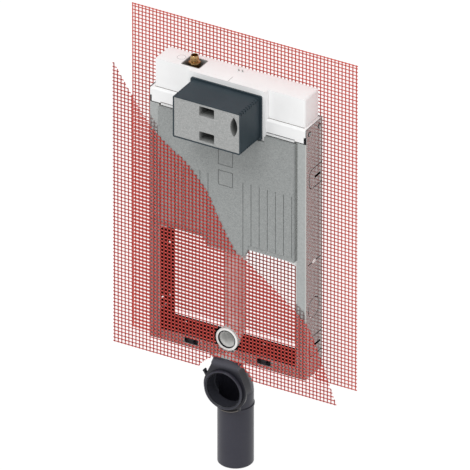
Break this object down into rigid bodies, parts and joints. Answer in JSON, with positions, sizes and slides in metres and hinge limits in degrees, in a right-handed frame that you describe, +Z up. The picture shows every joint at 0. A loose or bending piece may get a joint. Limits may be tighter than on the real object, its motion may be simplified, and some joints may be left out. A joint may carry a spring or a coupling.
{
  "type": "wall hung toilet frame",
  "caption": "Slim sheet-steel frame for a wall hung toilet, with a concealed cistern, inspection shaft, flush pipe, drain bend and plaster meshes.",
  "frame": {"origin": "centre of the bottom rail's rear lip, on its wall side", "axes": "+Z up, +Y into the wall, +X to the right as seen from the room"},
  "size_m": [0.633, 0.1883, 1.1755],
  "materials": {
    "galvanised_steel": "satin galvanised",
    "foam_panel": "speckled moulded foam",
    "cistern_white": "smooth moulded",
    "shaft_plastic": "matt anthracite",
    "foam_plug": "speckled moulded foam",
    "liner_plastic": "matt",
    "brass": "machined",
    "bracket_plastic": "matt",
    "flush_plastic": "satin",
    "seal_rubber": "matt",
    "drain_plastic": "satin",
    "clamp_plastic": "satin",
    "insert_plastic": "matt",
    "mesh_red": "coated glass fibre"
  },
  "bodies": {
    "root": {"side_upright_right": "galvanised_steel", "side_upright_left": "galvanised_steel", "bottom_rail": "galvanised_steel", "bolt_insert_right": "insert_plastic", "bolt_insert_left": "insert_plastic", "front_panel": "foam_panel", "cistern_tank": "cistern_white", "tank_outlet": "liner_plastic", "corner_pad_right": "seal_rubber", "corner_pad_left": "seal_rubber", "cistern_band": "cistern_white", "cistern_cover": "cistern_white", "valve_pocket_liner": "liner_plastic", "inlet_stem": "brass", "inlet_fitting": "brass", "shaft_collar": "cistern_white", "inspection_shaft": "shaft_plastic", "shaft_plug": "foam_plug", "support_bracket_right": "bracket_plastic", "support_bracket_left": "bracket_plastic", "flush_pipe": "flush_plastic", "flush_elbow": "flush_plastic", "flush_sleeve": "flush_plastic", "flush_seal": "seal_rubber", "drain_socket": "drain_plastic", "drain_seal": "seal_rubber", "drain_bend": "drain_plastic", "drain_pipe": "drain_plastic", "drain_clamp": "clamp_plastic", "clamp_latch": "clamp_plastic", "mesh_front": "mesh_red", "mesh_rear": "mesh_red"}
  },
  "joints": []
}
